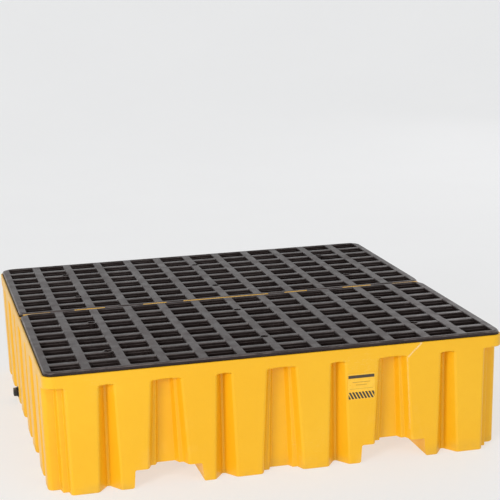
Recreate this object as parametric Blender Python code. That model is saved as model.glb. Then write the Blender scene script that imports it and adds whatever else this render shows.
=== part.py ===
"""Four-drum spill containment pallet: a moulded sump tub, two lift-out grates and a threaded drain.

Metres, +Z up, +X to the right along the front, +Y to the rear. The origin is on the floor, under
the middle of the pallet.
"""

import math

import bmesh
import bpy
from mathutils import Matrix, Vector

# Overall size
WIDTH = 1.308
DEPTH = 1.334
RIM_TOP = 0.338
DECK_TOP = 0.349
CLEARANCE = 0.0003
CUT_PAST = 0.01
JOIN_OVERLAP = 0.002

# Tub walls
WALL = 0.0055
RIM_WALL = 0.0055
RIM_BOTTOM = 0.303
RECESS_TOP = 0.2985
RIM_CORNER = 0.032
POST_CORNER = 0.015
RIM_CHAMFER = 0.0015
SIDE_DRAFT = 0.018
CORNER_POINTS = 5
SHOULDER = 0.005

# Vertical recesses in the walls: half-widths and depths at the foot and just under the rim
GROOVE_OPENING = (0.031, 0.021)
GROOVE_FLOOR = (0.004, 0.004)
GROOVE_DEPTH = (0.041, 0.038)
BAY_OPENING = (0.0590, 0.0410)
BAY_STEP_OUTER = (0.048, 0.031)
BAY_STEP_INNER = (0.0345, 0.024)
BAY_FLOOR = (0.0265, 0.017)
BAY_STEP_DEPTH = (0.028, 0.026)
BAY_DEPTH = (0.047, 0.044)
FRONT_GROOVES = (-0.4845, -0.1617, 0.1617, 0.4845)
FRONT_BAYS = (-0.322, 0.0, 0.322)
SIDE_GROOVES = (-0.515, -0.1715, 0.1715, 0.515)
SIDE_BAYS = (-0.343, 0.0, 0.343)

# Stepped cut beside each corner post, on the front and the back only
CUT_START = (0.5900, 0.5965)
CUT_STEP_DEPTH = 0.028
CUT_DEPTH = 0.054
CUT_SLOPE = 0.004
CUT_STEP_WIDTH = (0.016, 0.015)

# Fork pockets, which run from front to back
POCKET_INNER = 0.226
POCKET_OUTER = 0.419
POCKET_HEIGHT = 0.053
POCKET_DRAFT = 0.0035

# Hollow columns that hold the grates up
COLUMN_TOP = 0.3085
COLUMN_FLARE = 0.012
COLUMN_CHAMFER = 0.012
RIDGE_COLUMNS = ((-0.138, 0.138), (0.191, 0.266), (0.385, 0.481), (0.526, 0.566))
RIDGE_COLUMN_HALF_DEPTH = 0.030
FIELD_COLUMN_X = (0.0, 0.322, 0.530)
FIELD_COLUMN_Y = 0.334
FIELD_COLUMN_HALF = 0.035

# Ridge that shows in the seam between the grates
RIDGE_TOP = 0.3488
RIDGE_HALF_WIDTH = 0.003
RIDGE_INSET = 0.001
RIDGE_FOOT = 0.30575
WEB_START = 0.555
WEB_FOOT = 0.003
WEB_WALL = (0.598, 0.6055)
WEB_TOP = 0.347
WEB_END = 0.638
KEY_TIP = 0.634
KEY_TOP = 0.3375
KEY_HALF_WIDTH = 0.014

# Grates
GRATE_EDGE_GAP = 0.001
SEAM = 0.008
GRATE_BOTTOM = 0.3093
GRATE_CORNER = 0.026
CELL_COLUMNS = 12
CELL_ROWS = 8
CELL_PITCH_X = 0.1065
CELL_PITCH_Y = 0.0813
CELL_X = 0.080
CELL_Y = 0.0595
BAR_SLOT = 0.0185
BAR_SLOT_TOP = 0.341
BAR_SLOT_END = 0.013

# Drain, through the left wall
DRAIN_Y = 0.245
DRAIN_Z = 0.030
PAD_OUTER = 0.6443
PAD_INNER = 0.6368
PAD_RADIUS = 0.0215
DRAIN_BORE = 0.0108
SHANK_RADIUS = 0.0144
WALL_HOLE_RADIUS = 0.0148
FLANGE_RADIUS = 0.0175
FLANGE_THICKNESS = 0.004
FLANGE_CHAMFER = 0.001
GASKET_RADIUS = 0.017
GASKET_THICKNESS = 0.002
WASHER_RADIUS = 0.020
WASHER_THICKNESS = 0.002
NUT_ACROSS_FLATS = 0.038
NUT_THICKNESS = 0.010
SHANK_END = 0.6173
PLUG_COLLAR_RADIUS = 0.015
PLUG_COLLAR = 0.003
PLUG_HEAD = 0.024
PLUG_HEAD_LENGTH = 0.008
PLUG_SHANK_RADIUS = 0.01045
PLUG_SHANK_END = 0.6323
SEAL_THICKNESS = 0.0015
SIDES = 32

# Label on the front face
LABEL_X = (0.188, 0.268)
LABEL_Z = (0.190, 0.265)
LABEL_THICKNESS = 0.0005

# The planes that divide the tub moulding into sections, so that each can have its own collision shape
SECTION_X = 0.5795
SECTION_Y = 0.585
SECTION_Z = 0.060
SECTION_MARGIN = 0.001


def material(name, colour, roughness, metallic=0.0):
    made = bpy.data.materials.new(name)
    made.use_nodes = True
    shader = made.node_tree.nodes["Principled BSDF"]
    shader.inputs["Base Color"].default_value = (*colour, 1.0)
    shader.inputs["Roughness"].default_value = roughness
    shader.inputs["Metallic"].default_value = metallic
    return made


def add_object(name, mesh_builder, look=None):
    """Turns a bmesh into an object."""
    mesh = bpy.data.meshes.new(name)
    mesh_builder.to_mesh(mesh)
    mesh_builder.free()
    made = bpy.data.objects.new(name, mesh)
    bpy.context.scene.collection.objects.link(made)
    if look:
        mesh.materials.append(look)
    return made


def as_helper(helper):
    helper.hide_render = True
    helper.display_type = "WIRE"
    return helper


def combine(target, helper, operation):
    modifier = target.modifiers.new(f"{operation.lower()} {helper.name}", "BOOLEAN")
    modifier.operation = operation
    modifier.solver = "EXACT"
    modifier.object = helper


def shade_round(piece):
    piece.data.shade_smooth()
    piece.data.set_sharp_from_angle(angle=math.radians(35))


def turns_with(ring_points, direction):
    """Whether a ring runs anticlockwise as seen from the end that a direction points to."""
    origin = Vector(ring_points[0])
    area = Vector()
    for first, second in zip(ring_points[1:], ring_points[2:]):
        area += (Vector(first) - origin).cross(Vector(second) - origin)
    return area.dot(direction) > 0


def add_loft(builder, rings):
    """Adds a closed solid through rings that have the same number of points, facing out."""
    if not turns_with(rings[0], Vector(rings[-1][0]) - Vector(rings[0][0])):
        rings = [list(reversed(points)) for points in rings]
    loops = [[builder.verts.new(point) for point in points] for points in rings]
    count = len(rings[0])
    for lower, upper in zip(loops, loops[1:]):
        for i in range(count):
            j = (i + 1) % count
            builder.faces.new((lower[i], lower[j], upper[j], upper[i]))
    builder.faces.new(reversed(loops[0]))
    builder.faces.new(loops[-1])


def add_box(builder, low, high):
    corners = [(low[0], low[1]), (high[0], low[1]), (high[0], high[1]), (low[0], high[1])]
    add_loft(builder, [[(x, y, z) for x, y in corners] for z in (low[2], high[2])])


def between(pair, share):
    """The value a share of the way up from the foot of a wall to its recess tops."""
    return pair[0] + (pair[1] - pair[0]) * share


def groove_profile(share):
    """One narrow groove as (along, inset) points, from its centre."""
    opening = between(GROOVE_OPENING, share)
    floor = between(GROOVE_FLOOR, share)
    depth = between(GROOVE_DEPTH, share)
    half = [(floor, depth), (opening, 0.0)]
    return [(-along, inset) for along, inset in reversed(half)] + half


def bay_profile(share):
    """One wide, stepped recess as (along, inset) points, from its centre."""
    step_depth = between(BAY_STEP_DEPTH, share)
    half = [
        (between(BAY_FLOOR, share), between(BAY_DEPTH, share)),
        (between(BAY_STEP_INNER, share), step_depth),
        (between(BAY_STEP_OUTER, share), step_depth),
        (between(BAY_OPENING, share), 0.0),
    ]
    return [(-along, inset) for along, inset in reversed(half)] + half


def wall_profile(grooves, bays, share):
    """A whole wall's recesses as (along, inset) points, in order."""
    placed = [(centre, groove_profile(share)) for centre in grooves]
    placed += [(centre, bay_profile(share)) for centre in bays]
    return [(centre + along, inset) for centre, profile in sorted(placed) for along, inset in profile]


def corner_cut(share):
    """The stepped cut between the last panel and the corner post, as (along, inset) points."""
    start = between(CUT_START, share)
    step = between(CUT_STEP_WIDTH, share)
    return [
        (start, 0.0),
        (start + CUT_SLOPE, CUT_STEP_DEPTH),
        (start + CUT_SLOPE + step, CUT_STEP_DEPTH),
        (start + 2 * CUT_SLOPE + step, CUT_DEPTH),
    ]


def corner_arc(x, y, radius):
    """Points of a corner rounding at (x, y), from the front wall to the right wall."""
    turns = [math.pi / 2 * i / (CORNER_POINTS - 1) for i in range(CORNER_POINTS)]
    return [
        (x - radius + radius * math.sin(turn), y + radius - radius * math.cos(turn)) for turn in turns
    ]


def all_round(front, right):
    """A full outline from the front wall with its right corner, and the right wall."""
    half = front + right
    return half + [(-x, -y) for x, y in half]


def recessed_outline(z):
    """The tub's outline below the rim at height z."""
    share = z / RECESS_TOP
    inset = SIDE_DRAFT * (RIM_TOP - z)
    x = WIDTH / 2 - inset
    y = -DEPTH / 2 + inset
    cut = corner_cut(share)
    front = [(-along, y + depth) for along, depth in reversed(cut)]
    front += [(along, y + depth) for along, depth in wall_profile(FRONT_GROOVES, FRONT_BAYS, share)]
    front += [(along, y + depth) for along, depth in cut]
    front += corner_arc(x, y + CUT_DEPTH, POST_CORNER)
    right = [(x - depth, along) for along, depth in wall_profile(SIDE_GROOVES, SIDE_BAYS, share)]
    right += [(px, -py) for px, py in reversed(corner_arc(x, y + CUT_DEPTH, POST_CORNER))]
    return all_round(front, right)


def rim_outline(z, inset):
    """The rim's plain outline, with a point for each point of the recessed outline."""
    x = WIDTH / 2 - inset
    y = -DEPTH / 2 + inset
    cut = [along for along, _ in corner_cut(1.0)]
    along_front = [-along for along in reversed(cut)]
    along_front += [along for along, _ in wall_profile(FRONT_GROOVES, FRONT_BAYS, 1.0)]
    along_front += cut
    front = [(along, y) for along in along_front] + corner_arc(x, y, RIM_CORNER - inset)
    right = [(x, along) for along, _ in wall_profile(SIDE_GROOVES, SIDE_BAYS, 1.0)]
    right += [(px, -py) for px, py in reversed(corner_arc(x, y, RIM_CORNER - inset))]
    return all_round(front, right)


def offset_inwards(outline, distance):
    """The outline moved in by the wall's thickness, corner by corner."""
    moved = []
    for i, point in enumerate(outline):
        here = Vector(point)
        before = (here - Vector(outline[i - 1])).normalized()
        after = (Vector(outline[(i + 1) % len(outline)]) - here).normalized()
        normals = [Vector((-edge.y, edge.x)) for edge in (before, after)]
        bisector = normals[0] + normals[1]
        moved.append(here + bisector * distance / (1 + normals[0].dot(normals[1])))
    return [tuple(point) for point in moved]


def ring(outline, z):
    return [(x, y, z) for x, y in outline]


def tub_body():
    """The tub's outer shape, still solid."""
    builder = bmesh.new()
    rim_inset = SIDE_DRAFT * (RIM_TOP - RIM_BOTTOM)
    rings = [
        ring(recessed_outline(0.0), 0.0),
        ring(recessed_outline(RECESS_TOP), RECESS_TOP),
        ring(rim_outline(RIM_BOTTOM, rim_inset), RIM_BOTTOM),
        ring(rim_outline(RIM_TOP, 0.0), RIM_TOP - RIM_CHAMFER),
        ring(rim_outline(RIM_TOP, RIM_CHAMFER), RIM_TOP),
    ]
    add_loft(builder, rings)
    return builder


def sump_cavity():
    """The tub's inside, down to the sump floor and up through the rim."""
    builder = bmesh.new()
    top = RECESS_TOP + SHOULDER
    inner_rim = offset_inwards(rim_outline(RIM_TOP, 0.0), RIM_WALL)
    rings = [
        ring(offset_inwards(recessed_outline(WALL), WALL), WALL),
        ring(offset_inwards(recessed_outline(RECESS_TOP), WALL), top),
        ring(inner_rim, COLUMN_TOP),
        ring(inner_rim, RIM_TOP + CUT_PAST),
    ]
    add_loft(builder, rings)
    return builder


def pocket_ring(side, y, grow):
    """A fork pocket's section at y, grown by a wall's thickness for the floor over it."""
    top = POCKET_HEIGHT + grow
    section = [
        (side * (POCKET_INNER - grow), -CUT_PAST),
        (side * (POCKET_OUTER + grow), -CUT_PAST),
        (side * (POCKET_OUTER - POCKET_DRAFT + grow), top),
        (side * (POCKET_INNER + POCKET_DRAFT - grow), top),
    ]
    return [(x, y, z) for x, z in section]


def fork_pockets(grow):
    builder = bmesh.new()
    for side in (-1, 1):
        add_loft(builder, [pocket_ring(side, y, grow) for y in (-DEPTH, DEPTH)])
    return builder


def column_ring(x, y, half_x, half_y, z):
    """A rectangle with chamfered corners at height z."""
    cut = min(COLUMN_CHAMFER, half_x / 2)
    quarter = [(half_x, -half_y + cut), (half_x, half_y - cut), (half_x - cut, half_y)]
    corners = quarter + [(-half_x + cut, half_y), (-half_x, half_y - cut)]
    corners += [(-half_x, -half_y + cut), (-half_x + cut, -half_y), (half_x - cut, -half_y)]
    return [(x + dx, y + dy, z) for dx, dy in corners]


def column_places():
    """Every column as (x, y, half x, half y) at its top."""
    places = []
    for low, high in RIDGE_COLUMNS:
        for side in (-1, 1) if low > 0 else (1,):
            places.append((side * (low + high) / 2, 0.0, (high - low) / 2, RIDGE_COLUMN_HALF_DEPTH))
    for x in FIELD_COLUMN_X:
        for side in (-1, 1) if x > 0 else (1,):
            for row in (-1, 1):
                places.append((side * x, row * FIELD_COLUMN_Y, FIELD_COLUMN_HALF, FIELD_COLUMN_HALF))
    return places


def columns(shrink):
    """All the columns, or with shrink their hollow undersides."""
    builder = bmesh.new()
    base = COLUMN_FLARE - shrink
    for x, y, half_x, half_y in column_places():
        rings = [
            column_ring(x, y, half_x + base, half_y + base, -CUT_PAST),
            column_ring(x, y, half_x - shrink, half_y - shrink, COLUMN_TOP - shrink),
        ]
        add_loft(builder, rings)
    return builder


def seam_ridge():
    """The narrow ridge on the middle columns, which stands between the two grates."""
    builder = bmesh.new()
    for low, high in RIDGE_COLUMNS[:-1]:
        for side in (-1, 1) if low > 0 else (1,):
            ends = sorted((side * low, side * high))
            low_corner = (ends[0] + RIDGE_INSET, -RIDGE_HALF_WIDTH, RIDGE_FOOT)
            add_box(builder, low_corner, (ends[1] - RIDGE_INSET, RIDGE_HALF_WIDTH, RIDGE_TOP))
    return builder


def end_webs():
    """A thin web from the outermost column to each side wall, with the ridge's end on its top."""
    builder = bmesh.new()
    section = [
        (WEB_START, WEB_FOOT),
        (WEB_WALL[0], WEB_FOOT),
        (WEB_WALL[1], COLUMN_TOP - WALL),
        (WEB_END, RIDGE_FOOT),
        (WEB_END, WEB_TOP),
        (WEB_START, WEB_TOP),
    ]
    for side in (-1, 1):
        faces = (-RIDGE_HALF_WIDTH, RIDGE_HALF_WIDTH)
        add_loft(builder, [[(side * x, y, z) for x, z in section] for y in faces])
    return builder


def rim_keys():
    """A wedge on the rim's inner face at each end of the seam, between the grates' round corners."""
    builder = bmesh.new()
    base = WIDTH / 2 - RIM_WALL + JOIN_OVERLAP
    for side in (-1, 1):
        outline = [
            (side * base, -KEY_HALF_WIDTH),
            (side * base, KEY_HALF_WIDTH),
            (side * KEY_TIP, RIDGE_HALF_WIDTH),
            (side * KEY_TIP, -RIDGE_HALF_WIDTH),
        ]
        add_loft(builder, [ring(outline, z) for z in (RIDGE_FOOT, KEY_TOP)])
    return builder


def add_turned(builder, profile, sides=SIDES):
    """Adds a ring turned about the drain's axis. The profile is a closed list of (x, radius)."""
    loops = []
    for i in range(sides):
        turn = 2 * math.pi * i / sides
        y, z = math.cos(turn), math.sin(turn)
        loops.append(
            [builder.verts.new((x, DRAIN_Y + radius * y, DRAIN_Z + radius * z)) for x, radius in profile]
        )
    for first, second in zip(loops, loops[1:] + loops[:1]):
        for i in range(len(profile)):
            j = (i + 1) % len(profile)
            builder.faces.new((first[i], first[j], second[j], second[i]))
    bmesh.ops.recalc_face_normals(builder, faces=builder.faces)


def washer_shape(outer_face, inner_face, outer_radius, inner_radius):
    """A flat ring between two positions along the drain's axis."""
    builder = bmesh.new()
    profile = [
        (-outer_face, inner_radius),
        (-outer_face, outer_radius),
        (-inner_face, outer_radius),
        (-inner_face, inner_radius),
    ]
    add_turned(builder, profile)
    return builder


def disc(outer_face, inner_face, radius, sides=SIDES, turn=0.0):
    """A plain round or polygonal rod along the drain's axis."""
    builder = bmesh.new()
    rings = []
    for x in (-outer_face, -inner_face):
        angles = [turn + 2 * math.pi * i / sides for i in range(sides)]
        rings.append(
            [(x, DRAIN_Y + radius * math.cos(a), DRAIN_Z + radius * math.sin(a)) for a in angles]
        )
    add_loft(builder, rings)
    return builder


def wall_and_floor_sections():
    """The boxes that hold the tub's walls and its floor, as (name, low corner, high corner)."""
    gap = CLEARANCE / 2
    low, high = -CUT_PAST, RIM_TOP + CUT_PAST
    outer_x, inner_x = WIDTH, SECTION_X + gap
    outer_y, inner_y = DEPTH, SECTION_Y + gap
    side_y = SECTION_Y - gap
    floor_x = SECTION_X - gap
    return [
        ("tub_front_wall", (-outer_x, -outer_y, low), (outer_x, -inner_y, high)),
        ("tub_rear_wall", (-outer_x, inner_y, low), (outer_x, outer_y, high)),
        ("tub_left_wall", (-outer_x, -side_y, low), (-inner_x, side_y, high)),
        ("tub_right_wall", (inner_x, -side_y, low), (outer_x, side_y, high)),
        ("tub_floor", (-floor_x, -side_y, low), (floor_x, side_y, SECTION_Z - gap)),
    ]


def column_sections():
    """The box that holds each column above the floor section, by row and counted from the left."""
    sections = []
    side_x = SECTION_X - CLEARANCE / 2
    low_z, high_z = SECTION_Z + CLEARANCE / 2, RIDGE_TOP + CUT_PAST
    for row, row_y in (("front", -FIELD_COLUMN_Y), ("middle", 0.0), ("rear", FIELD_COLUMN_Y)):
        places = sorted(place for place in column_places() if place[1] == row_y)
        for number, (x, y, half_x, half_y) in enumerate(places, 1):
            reach_x = half_x + COLUMN_FLARE + SECTION_MARGIN
            reach_y = half_y + COLUMN_FLARE + SECTION_MARGIN
            low_x, high_x = x - reach_x, x + reach_x
            if row == "middle" and number == 1:
                low_x = -side_x
            if row == "middle" and number == len(places):
                high_x = side_x
            name = f"tub_column_{row}_{number}"
            sections.append((name, (low_x, y - reach_y, low_z), (high_x, y + reach_y, high_z)))
    return sections


def make_tub(look):
    cavity = as_helper(add_object("cavity", sump_cavity()))
    combine(cavity, as_helper(add_object("raised_floor", fork_pockets(WALL))), "DIFFERENCE")
    combine(cavity, as_helper(add_object("column_skins", columns(0.0))), "DIFFERENCE")
    pad = disc(PAD_OUTER + JOIN_OVERLAP, PAD_INNER, PAD_RADIUS)
    combine(cavity, as_helper(add_object("drain_pad", pad)), "DIFFERENCE")

    tub = as_helper(add_object("tub_moulding", tub_body()))
    combine(tub, cavity, "DIFFERENCE")
    combine(tub, as_helper(add_object("column_hollows", columns(WALL))), "DIFFERENCE")
    combine(tub, as_helper(add_object("pockets", fork_pockets(0.0))), "DIFFERENCE")
    combine(tub, as_helper(add_object("ridge", seam_ridge())), "UNION")
    combine(tub, as_helper(add_object("webs", end_webs())), "UNION")
    combine(tub, as_helper(add_object("keys", rim_keys())), "UNION")
    face = disc(WIDTH / 2, PAD_OUTER, PAD_RADIUS)
    combine(tub, as_helper(add_object("drain_face", face)), "DIFFERENCE")
    hole = disc(WIDTH / 2, SHANK_END, WALL_HOLE_RADIUS)
    combine(tub, as_helper(add_object("drain_hole", hole)), "DIFFERENCE")

    for name, low, high in wall_and_floor_sections() + column_sections():
        builder = bmesh.new()
        add_box(builder, low, high)
        combine(add_object(name, builder, look), tub, "INTERSECT")


def rounded_rectangle(centre_y, half_x, half_y, radius):
    """An outline about (0, centre_y) with round corners."""
    front_right = corner_arc(half_x, -half_y, radius)
    rear_right = [(x, -y) for x, y in reversed(front_right)]
    return [(x, centre_y + y) for x, y in all_round(front_right, rear_right)]


def row_centres(count, pitch):
    return [pitch * (i - (count - 1) / 2) for i in range(count)]


def grate_cells(centre_y):
    """The open cells, as a block for each."""
    builder = bmesh.new()
    for x in row_centres(CELL_COLUMNS, CELL_PITCH_X):
        for row in row_centres(CELL_ROWS, CELL_PITCH_Y):
            y = centre_y + row
            low = (x - CELL_X / 2, y - CELL_Y / 2, GRATE_BOTTOM - CUT_PAST)
            add_box(builder, low, (x + CELL_X / 2, y + CELL_Y / 2, DECK_TOP + CUT_PAST))
    return builder


def grate_slots(centre_y, half_y):
    """Channels in the underside of the bars, as a block for each."""
    builder = bmesh.new()
    reach = half_y - BAR_SLOT_END
    for x in row_centres(CELL_COLUMNS - 1, CELL_PITCH_X):
        low = (x - BAR_SLOT / 2, centre_y - reach, GRATE_BOTTOM - CUT_PAST)
        add_box(builder, low, (x + BAR_SLOT / 2, centre_y + reach, BAR_SLOT_TOP))
    return builder


def make_grate(name, side, look):
    """A grate over the front half (side -1) or the rear half (side 1)."""
    half_x = WIDTH / 2 - RIM_WALL - GRATE_EDGE_GAP
    far = DEPTH / 2 - RIM_WALL - GRATE_EDGE_GAP
    half_y = (far - SEAM / 2) / 2
    centre_y = side * (far + SEAM / 2) / 2
    builder = bmesh.new()
    outline = rounded_rectangle(centre_y, half_x, half_y, GRATE_CORNER)
    add_loft(builder, [ring(outline, z) for z in (GRATE_BOTTOM, DECK_TOP)])
    grate = add_object(name, builder, look)
    combine(grate, as_helper(add_object(f"{name}_cells", grate_cells(centre_y))), "DIFFERENCE")
    combine(grate, as_helper(add_object(f"{name}_slots", grate_slots(centre_y, half_y))), "DIFFERENCE")


def make_drain(body_look, seal_look):
    gasket_face = PAD_OUTER + CLEARANCE + GASKET_THICKNESS
    flange_back = gasket_face + CLEARANCE
    flange_face = flange_back + FLANGE_THICKNESS

    builder = washer_shape(gasket_face, PAD_OUTER + CLEARANCE, GASKET_RADIUS, WALL_HOLE_RADIUS)
    shade_round(add_object("drain_gasket", builder, seal_look))

    builder = bmesh.new()
    profile = [
        (-flange_face, DRAIN_BORE),
        (-flange_face, FLANGE_RADIUS - FLANGE_CHAMFER),
        (-flange_face + FLANGE_CHAMFER, FLANGE_RADIUS),
        (-flange_back, FLANGE_RADIUS),
        (-flange_back, SHANK_RADIUS),
        (-SHANK_END, SHANK_RADIUS),
        (-SHANK_END, DRAIN_BORE),
    ]
    add_turned(builder, profile)
    shade_round(add_object("drain_fitting", builder, body_look))

    washer_back = PAD_INNER - CLEARANCE
    washer_front = washer_back - WASHER_THICKNESS
    builder = washer_shape(washer_back, washer_front, WASHER_RADIUS, WALL_HOLE_RADIUS)
    shade_round(add_object("drain_washer", builder, body_look))

    nut_back = washer_front - CLEARANCE
    nut_front = nut_back - NUT_THICKNESS
    nut = disc(nut_back, nut_front, NUT_ACROSS_FLATS / 2 / math.cos(math.pi / 6), 6)
    locknut = add_object("drain_locknut", nut, body_look)
    bore = disc(nut_back + CUT_PAST, nut_front - CUT_PAST, WALL_HOLE_RADIUS)
    combine(locknut, as_helper(add_object("nut_bore", bore)), "DIFFERENCE")
    return flange_face


def make_plug(flange_face, plug_look, seal_look):
    """The plug and its seal hang on an empty on the thread's axis."""
    seal_back = flange_face + CLEARANCE
    seal_face = seal_back + SEAL_THICKNESS
    axis = bpy.data.objects.new("plug_axis", None)
    bpy.context.scene.collection.objects.link(axis)
    axis.location = (-flange_face, DRAIN_Y, DRAIN_Z)

    bore = PLUG_SHANK_RADIUS + CLEARANCE
    seal = add_object("plug_seal", washer_shape(seal_face, seal_back, PLUG_COLLAR_RADIUS, bore), seal_look)
    collar_back = seal_face + CLEARANCE
    collar_face = collar_back + PLUG_COLLAR
    plug = add_object("drain_plug", disc(collar_face, collar_back, PLUG_COLLAR_RADIUS), plug_look)
    head_radius = PLUG_HEAD / math.sqrt(2)
    overlap = collar_back + JOIN_OVERLAP
    head = disc(collar_face + PLUG_HEAD_LENGTH, overlap, head_radius, 4, math.pi / 4)
    combine(plug, as_helper(add_object("plug_head", head)), "UNION")
    shank = disc(overlap, PLUG_SHANK_END, PLUG_SHANK_RADIUS)
    combine(plug, as_helper(add_object("plug_shank", shank)), "UNION")
    for piece in (seal, plug):
        shade_round(piece)
        piece.parent = axis
        piece.data.transform(Matrix.Translation(-axis.location))


def make_label(look):
    """A thin label that lies on the sloping front panel, just clear of it."""
    builder = bmesh.new()
    rings = []
    for z in LABEL_Z:
        back = -DEPTH / 2 + SIDE_DRAFT * (RIM_TOP - z) - CLEARANCE
        front = back - LABEL_THICKNESS
        left, right = LABEL_X
        rings.append([(left, front, z), (right, front, z), (right, back, z), (left, back, z)])
    add_loft(builder, rings)
    add_object("front_label", builder, look)


def clear_scene():
    for item in list(bpy.data.objects):
        bpy.data.objects.remove(item, do_unlink=True)


def main():
    clear_scene()
    yellow = material("tub_yellow", (0.93, 0.50, 0.013), 0.42)
    grate_black = material("grate_black", (0.022, 0.019, 0.018), 0.45)
    fitting_black = material("fitting_black", (0.012, 0.012, 0.012), 0.4)
    rubber = material("seal_rubber", (0.02, 0.02, 0.02), 0.75)
    label = material("label_film", (0.92, 0.78, 0.35), 0.5)

    make_tub(yellow)
    make_grate("front_grate", -1, grate_black)
    make_grate("rear_grate", 1, grate_black)
    flange_face = make_drain(fitting_black, rubber)
    make_plug(flange_face, fitting_black, rubber)
    make_label(label)


main()
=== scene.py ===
"""Looks for the four-drum spill containment pallet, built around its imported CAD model.

Metres, +Z up, +X to the right along the front, +Y to the rear, origin on the floor under the middle.
"""

import math

import bmesh
import bpy
from mathutils import Matrix, Vector


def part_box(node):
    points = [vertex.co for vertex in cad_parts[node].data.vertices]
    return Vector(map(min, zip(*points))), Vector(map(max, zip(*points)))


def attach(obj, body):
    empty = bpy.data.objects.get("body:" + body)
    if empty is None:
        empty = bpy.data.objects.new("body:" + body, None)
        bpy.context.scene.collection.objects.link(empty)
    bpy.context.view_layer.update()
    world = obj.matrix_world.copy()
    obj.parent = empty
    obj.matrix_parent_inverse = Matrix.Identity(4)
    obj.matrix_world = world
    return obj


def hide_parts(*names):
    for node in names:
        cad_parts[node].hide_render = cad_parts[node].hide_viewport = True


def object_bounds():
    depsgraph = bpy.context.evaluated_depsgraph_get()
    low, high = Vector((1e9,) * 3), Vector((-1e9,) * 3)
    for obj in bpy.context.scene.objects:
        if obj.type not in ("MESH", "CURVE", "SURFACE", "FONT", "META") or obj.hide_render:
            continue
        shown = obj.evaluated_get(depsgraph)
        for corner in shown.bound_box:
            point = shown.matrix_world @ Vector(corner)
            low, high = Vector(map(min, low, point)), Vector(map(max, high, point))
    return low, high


CUT_PAST = 0.01
CLEARANCE = 0.0003

# Tub walls
WALL = 0.0055
RIM_HEIGHT = 0.338
RIM_BOTTOM = 0.303
RECESS_TOP = 0.2985
RIM_CORNER = 0.032
POST_CORNER = 0.015
SIDE_DRAFT = 0.018
SHOULDER = 0.005

# Roundings
EDGE_ROUND = 0.011
STEP_ROUND = 0.0025
INSIDE_ROUND = 0.003
RIM_ROUND = 0.0022
FOOT_ROUND = 0.004
ARC_STEPS = 4
CORNER_STEPS = 8

# Vertical recesses in the walls: half-widths and depths at the foot and just under the rim
GROOVE_OPENING = (0.031, 0.021)
GROOVE_FLOOR = (0.004, 0.004)
GROOVE_DEPTH = (0.041, 0.038)
BAY_OPENING = (0.0590, 0.0410)
BAY_STEP_OUTER = (0.048, 0.031)
BAY_STEP_INNER = (0.0345, 0.024)
BAY_FLOOR = (0.0265, 0.017)
BAY_STEP_DEPTH = (0.028, 0.026)
BAY_DEPTH = (0.047, 0.044)
FRONT_GROOVES = (-0.4845, -0.1617, 0.1617, 0.4845)
FRONT_BAYS = (-0.322, 0.0, 0.322)
SIDE_GROOVES = (-0.515, -0.1715, 0.1715, 0.515)
SIDE_BAYS = (-0.343, 0.0, 0.343)

# Stepped cut beside each corner post
CUT_START = (0.5900, 0.5965)
CUT_STEP_DEPTH = 0.028
CUT_DEPTH = 0.054
CUT_SLOPE = 0.004
CUT_STEP_WIDTH = (0.016, 0.015)

# Fork pockets
POCKET_INNER = 0.226
POCKET_OUTER = 0.419
POCKET_HEIGHT = 0.053
POCKET_DRAFT = 0.0035
POCKET_ROUND = 0.005

# Hollow columns
COLUMN_TOP = 0.3085
COLUMN_FLARE = 0.012
COLUMN_CHAMFER = 0.012
COLUMN_ROUND = 0.003
RIDGE_COLUMNS = ((-0.138, 0.138), (0.191, 0.266), (0.385, 0.481), (0.526, 0.566))
RIDGE_COLUMN_HALF_DEPTH = 0.030
FIELD_COLUMN_X = (0.0, 0.322, 0.530)
FIELD_COLUMN_Y = 0.334
FIELD_COLUMN_HALF = 0.035

# Ridge in the seam between the grates
RIDGE_TOP = 0.3488
RIDGE_HALF_WIDTH = 0.003
RIDGE_INSET = 0.001
RIDGE_FOOT = 0.30575
RIDGE_ROUND = 0.0015
WEB_START = 0.555
WEB_FOOT = 0.003
WEB_WALL = (0.598, 0.6055)
WEB_TOP = 0.347
WEB_END = 0.638
KEY_TIP = 0.634
KEY_TOP = 0.3375
KEY_HALF_WIDTH = 0.014

# Grates
GRATE_CORNER = 0.026
GRATE_TOP_CORNER = 0.044
GRATE_EDGE_DROP = 0.006
GRATE_EDGE_INSET = 0.0045
CELL_COLUMNS = 12
CELL_ROWS = 8
CELL_PITCH_X = 0.1065
CELL_PITCH_Y = 0.0813
CELL_X = 0.080
CELL_Y = 0.0595
CELL_CORNER = 0.003
RIB_DROP = 0.0016
RIB_FLARE = 0.0024
BAR_FLARE = 0.001
LEDGE_DEPTH = 0.0095
LEDGE_WIDTH = 0.0026
BAR_SLOT = 0.0185
BAR_SLOT_TOP = 0.341
BAR_SLOT_END = 0.013
LIFT_HOLE_X = (-0.452, -0.004, 0.446)
LIFT_HOLE_ROWS = (-2, 2)
LIFT_HOLE_RADIUS = 0.0105
LIFT_BOSS_RADIUS = 0.0155
LIFT_HOLE_DEPTH = 0.030

# Drain
PAD_RADIUS = 0.0215
PAD_INNER = 0.6368
PAD_OVERLAP = 0.0015
WALL_HOLE_RADIUS = 0.0148
WALL_HOLE_END = 0.6173
DRAIN_BORE = 0.0108
SHANK_RADIUS = 0.0144
SEAL_HOLE_RADIUS = 0.01075
NUT_ACROSS_FLATS = 0.038
NUT_CORNER_ROUND = 0.0012
NUT_CORNER_STEPS = 11
NUT_CHAMFER = 0.0014
NUT_BORE_ROUND = 0.0006
PLUG_COLLAR = 0.003
PLUG_HEAD = 0.024
PLUG_SHANK_RADIUS = 0.01045
THREAD_PITCH = 0.001814
THREAD_DEPTH = 0.0008
THREAD_STEPS = 8
ROUND_SIDES = 72

# Label
LABEL_CORNER = 0.004
LABEL_HALF_THICKNESS = 0.00022

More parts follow.
